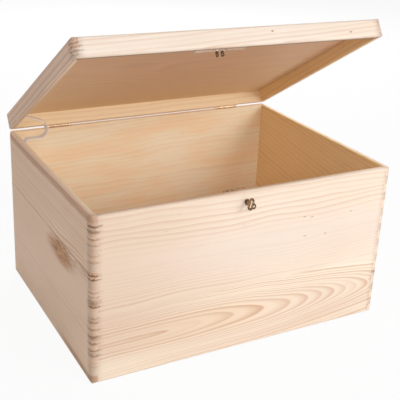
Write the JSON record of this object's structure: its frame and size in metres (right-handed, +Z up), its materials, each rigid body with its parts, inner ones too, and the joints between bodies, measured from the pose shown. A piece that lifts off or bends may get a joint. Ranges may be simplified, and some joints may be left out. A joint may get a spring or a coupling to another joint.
{
  "type": "wooden toy box",
  "caption": "Pine toy box with finger-jointed corners, a lid on two brass butt hinges standing half open, a small box lock with its key in place and a plastic lid stay.",
  "frame": {"origin": "middle of the underside of the bottom panel, on the table", "axes": "+X runs along the long side from left to right as seen from the lock side, +Y runs from the lock side to the hinge side, +Z is up"},
  "size_m": [0.4, 0.3294, 0.3807],
  "materials": {
    "pine": "bare sanded pine with fine straight grain",
    "brass": "antique brass, slightly dull",
    "strap_plastic": "soft translucent whitish plastic"
  },
  "bodies": {
    "box": {"front_wall": "pine", "back_wall": "pine", "left_wall": "pine", "right_wall": "pine", "bottom_panel": "pine", "left_hinge_box_leaf": "brass", "right_hinge_box_leaf": "brass", "left_hinge_pin": "brass", "right_hinge_pin": "brass", "hinge_box_screws": "brass", "lock_plate": "brass", "lock_case": "brass", "lock_post": "brass", "bolt_stud": "brass", "lock_screws": "brass", "stay_strap": "strap_plastic", "stay_wall_screw": "brass"},
    "lid": {"lid_front_rail": "pine", "lid_back_rail": "pine", "lid_left_rail": "pine", "lid_right_rail": "pine", "lid_panel": "pine", "left_hinge_lid_leaf": "brass", "right_hinge_lid_leaf": "brass", "hinge_lid_screws": "brass", "link_plate": "brass", "link_plate_screws": "brass", "stay_lid_screw": "brass"},
    "key": {"key": "brass"},
    "lock_bolt": {"lock_bolt": "brass"}
  },
  "joints": [
    {"name": "lid_hinge", "type": "hinge", "parent": "box", "child": "lid", "pos_m": [0, 0.1505, 0.20615], "axis": [-1, 0, 0], "range_deg": [-31.4, 63.6], "deforming": ["stay_strap"]},
    {"name": "key_turn", "type": "hinge", "parent": "box", "child": "key", "pos_m": [-0.011, -0.15, 0.1935], "axis": [0, 1, 0], "range_deg": [-15, 75]},
    {"name": "bolt_slide", "type": "slide", "parent": "box", "child": "lock_bolt", "axis": [-1, 0, 0], "range_m": [-0.00053, 0.00267]}
  ],
  "couplings": [
    {"joint": "key_turn", "follows": "bolt_slide", "rad_per_m": 490.87}
  ]
}
